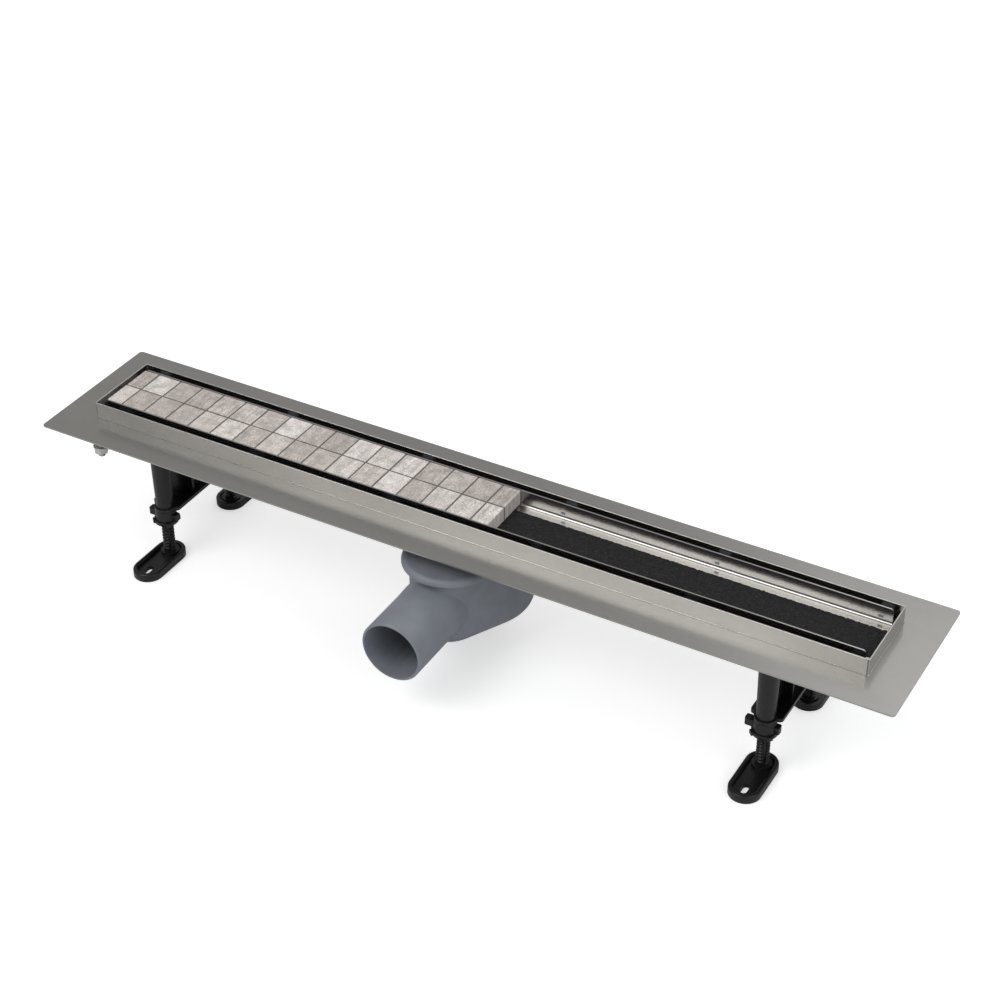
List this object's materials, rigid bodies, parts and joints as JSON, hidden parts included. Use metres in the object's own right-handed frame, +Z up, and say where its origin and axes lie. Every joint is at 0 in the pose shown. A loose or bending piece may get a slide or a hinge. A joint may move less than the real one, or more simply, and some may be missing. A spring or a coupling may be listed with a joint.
{
  "type": "linear shower drain",
  "caption": "Low linear shower drain: steel channel with flange, reversible tile cover on spring clips, levelling feet and a swivelling odour trap with a side outlet.",
  "frame": {"origin": "on the waste's vertical axis, at the level that the four feet stand on", "axes": "+X along the channel, towards the end without the bonding stud; +Z up; the outlet leaves towards -Y"},
  "size_m": [0.7236, 0.205, 0.1215],
  "materials": {
    "stainless_steel": "satin",
    "bright_steel": "bright",
    "trap_plastic": "satin moulded",
    "clip_plastic": "satin moulded",
    "black_plastic": "satin moulded",
    "grit": "rough grit in resin",
    "tile": "matt stone tile",
    "grout": "fine cement",
    "seal_rubber": "matt"
  },
  "bodies": {
    "drain": {"channel_tray": "stainless_steel", "flange_plate": "stainless_steel", "bonding_stud": "bright_steel", "bonding_nut": "bright_steel", "bonding_washer": "bright_steel", "bracket_studs": "bright_steel", "bracket_nuts": "bright_steel", "support_bracket_left": "black_plastic", "support_bracket_right": "black_plastic", "cover_tray": "stainless_steel", "grit_coat": "grit", "tiles_front_row": "tile", "tiles_rear_row": "tile", "tile_grout": "grout", "clip_front_1": "clip_plastic", "clip_rear_1": "clip_plastic", "clip_front_2": "clip_plastic", "clip_rear_2": "clip_plastic", "clip_front_3": "clip_plastic", "clip_rear_3": "clip_plastic", "clip_front_4": "clip_plastic", "clip_rear_4": "clip_plastic", "clip_front_5": "clip_plastic", "clip_rear_5": "clip_plastic", "clip_front_6": "clip_plastic", "clip_rear_6": "clip_plastic"},
    "trap": {"trap_body": "trap_plastic", "trap_seal": "seal_rubber", "clamp_ring": "bright_steel", "odour_insert": "trap_plastic", "insert_seal": "seal_rubber"},
    "foot_front_left": {"foot_pad_front_left": "black_plastic", "spindle_front_left": "black_plastic"},
    "nut_front_left": {"wing_nut_front_left": "black_plastic"},
    "foot_rear_left": {"foot_pad_rear_left": "black_plastic", "spindle_rear_left": "black_plastic"},
    "nut_rear_left": {"wing_nut_rear_left": "black_plastic"},
    "foot_front_right": {"foot_pad_front_right": "black_plastic", "spindle_front_right": "black_plastic"},
    "nut_front_right": {"wing_nut_front_right": "black_plastic"},
    "foot_rear_right": {"foot_pad_rear_right": "black_plastic", "spindle_rear_right": "black_plastic"},
    "nut_rear_right": {"wing_nut_rear_right": "black_plastic"}
  },
  "joints": [
    {"name": "trap_swivel", "type": "hinge", "parent": "drain", "child": "trap", "pos_m": [0, 0, 0.0921], "axis": [0, 0, 1], "continuous": true},
    {"name": "foot_slide_front_left", "type": "slide", "parent": "drain", "child": "foot_front_left", "axis": [0, 0, -1], "range_m": [-0.012, 0.02]},
    {"name": "nut_turn_front_left", "type": "hinge", "parent": "drain", "child": "nut_front_left", "pos_m": [-0.263, -0.0426, 0.0385], "axis": [0, 0, 1], "range_deg": [-1445, 2405]},
    {"name": "foot_slide_rear_left", "type": "slide", "parent": "drain", "child": "foot_rear_left", "axis": [0, 0, -1], "range_m": [-0.012, 0.02]},
    {"name": "nut_turn_rear_left", "type": "hinge", "parent": "drain", "child": "nut_rear_left", "pos_m": [-0.263, 0.0426, 0.0385], "axis": [0, 0, 1], "range_deg": [-1445, 2405]},
    {"name": "foot_slide_front_right", "type": "slide", "parent": "drain", "child": "foot_front_right", "axis": [0, 0, -1], "range_m": [-0.012, 0.02]},
    {"name": "nut_turn_front_right", "type": "hinge", "parent": "drain", "child": "nut_front_right", "pos_m": [0.263, -0.0426, 0.0385], "axis": [0, 0, 1], "range_deg": [-1445, 2405]},
    {"name": "foot_slide_rear_right", "type": "slide", "parent": "drain", "child": "foot_rear_right", "axis": [0, 0, -1], "range_m": [-0.012, 0.02]},
    {"name": "nut_turn_rear_right", "type": "hinge", "parent": "drain", "child": "nut_rear_right", "pos_m": [0.263, 0.0426, 0.0385], "axis": [0, 0, 1], "range_deg": [-1445, 2405]}
  ],
  "couplings": [
    {"joint": "nut_turn_front_left", "follows": "foot_slide_front_left", "rad_per_m": 2094.4},
    {"joint": "nut_turn_rear_left", "follows": "foot_slide_rear_left", "rad_per_m": 2094.4},
    {"joint": "nut_turn_front_right", "follows": "foot_slide_front_right", "rad_per_m": 2094.4},
    {"joint": "nut_turn_rear_right", "follows": "foot_slide_rear_right", "rad_per_m": 2094.4}
  ]
}
